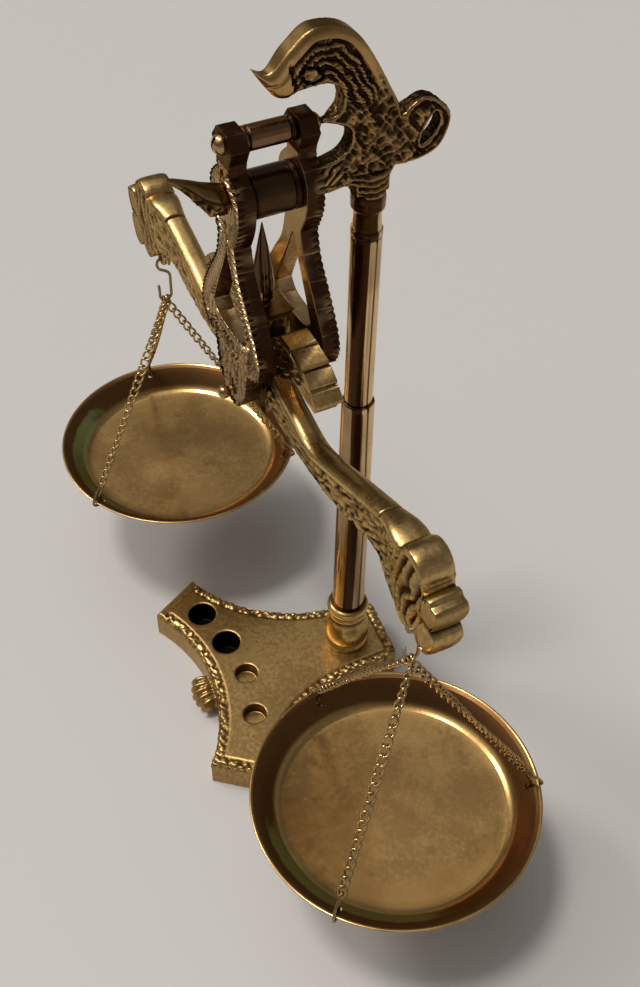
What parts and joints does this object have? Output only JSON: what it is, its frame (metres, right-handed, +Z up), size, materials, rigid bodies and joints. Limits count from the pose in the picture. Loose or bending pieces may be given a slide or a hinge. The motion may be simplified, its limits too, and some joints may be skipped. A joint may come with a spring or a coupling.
{
  "type": "brass balance scale",
  "caption": "Ornamental brass table balance: cast arm on a turned column, hanging yoke, swan-arm beam and shallow pans on link chains.",
  "frame": {"origin": "on the column's axis, in the flat face that the base rests on", "axes": "+Z up the column, +X along the level beam to the right pan, -Y towards the front, the side the yoke hangs on"},
  "size_m": [0.2253, 0.0825, 0.2182],
  "materials": {
    "cast_base": "satin cast, worn bright at the edges",
    "turned_column": "polished, lightly tarnished",
    "hidden_stud": "threaded rod, unseen",
    "dark_casting": "old cast brass with dark hollows",
    "yoke_casting": "cast brass with brown patina",
    "yoke_tube": "smooth brown patina",
    "bright_fastener": "polished",
    "beam_casting": "cast brass, smooth top and chased sides",
    "pointer_brass": "polished, darkened",
    "wire": "drawn wire, dull",
    "spun_pan": "spun and brushed, tarnished",
    "chain_brass": "fine curb links"
  },
  "bodies": {
    "stand": {"base_plate": "cast_base", "foot_stud": "hidden_stud", "column_foot": "turned_column", "lower_column": "turned_column", "column_stud": "hidden_stud", "upper_column": "turned_column", "column_neck": "turned_column", "head_stud": "hidden_stud", "head_bracket": "dark_casting", "arm_stud": "dark_casting", "arm_finial": "dark_casting"},
    "yoke": {"yoke_front_plate": "yoke_casting", "yoke_back_plate": "yoke_casting", "arm_sleeve": "yoke_tube", "yoke_spacer": "yoke_tube", "yoke_screws": "bright_fastener", "pivot_pin": "bright_fastener", "pivot_nuts": "bright_fastener"},
    "beam": {"beam": "beam_casting", "pointer": "pointer_brass"},
    "left_hook": {"left_hook": "wire"},
    "left_pan": {"left_pan": "spun_pan", "left_rim_ring_1": "wire", "left_rim_ring_2": "wire", "left_rim_ring_3": "wire", "left_chain_1": "chain_brass", "left_chain_2": "chain_brass", "left_chain_3": "chain_brass"},
    "right_hook": {"right_hook": "wire"},
    "right_pan": {"right_pan": "spun_pan", "right_rim_ring_1": "wire", "right_rim_ring_2": "wire", "right_rim_ring_3": "wire", "right_chain_1": "chain_brass", "right_chain_2": "chain_brass", "right_chain_3": "chain_brass"}
  },
  "joints": [
    {"name": "yoke_swing", "type": "hinge", "parent": "stand", "child": "yoke", "pos_m": [0, -0.0252, 0.1825], "axis": [0, 1, 0], "range_deg": [-8, 8]},
    {"name": "beam_tilt", "type": "hinge", "parent": "yoke", "child": "beam", "pos_m": [0, -0.0252, 0.129], "axis": [0, 1, 0], "range_deg": [-9, 9]},
    {"name": "left_hook_swing", "type": "hinge", "parent": "beam", "child": "left_hook", "pos_m": [-0.0736, -0.0252, 0.117], "axis": [0, 1, 0], "range_deg": [-9, 9]},
    {"name": "left_pan_swing", "type": "hinge", "parent": "left_hook", "child": "left_pan", "pos_m": [-0.0736, -0.0252, 0.1039], "axis": [1, 0, 0], "range_deg": [-18, 18]},
    {"name": "right_hook_swing", "type": "hinge", "parent": "beam", "child": "right_hook", "pos_m": [0.0736, -0.0252, 0.117], "axis": [0, 1, 0], "range_deg": [-9, 9]},
    {"name": "right_pan_swing", "type": "hinge", "parent": "right_hook", "child": "right_pan", "pos_m": [0.0736, -0.0252, 0.1039], "axis": [1, 0, 0], "range_deg": [-18, 18]}
  ],
  "couplings": [
    {"joint": "left_hook_swing", "follows": "beam_tilt", "ratio": -1},
    {"joint": "right_hook_swing", "follows": "beam_tilt", "ratio": -1}
  ]
}
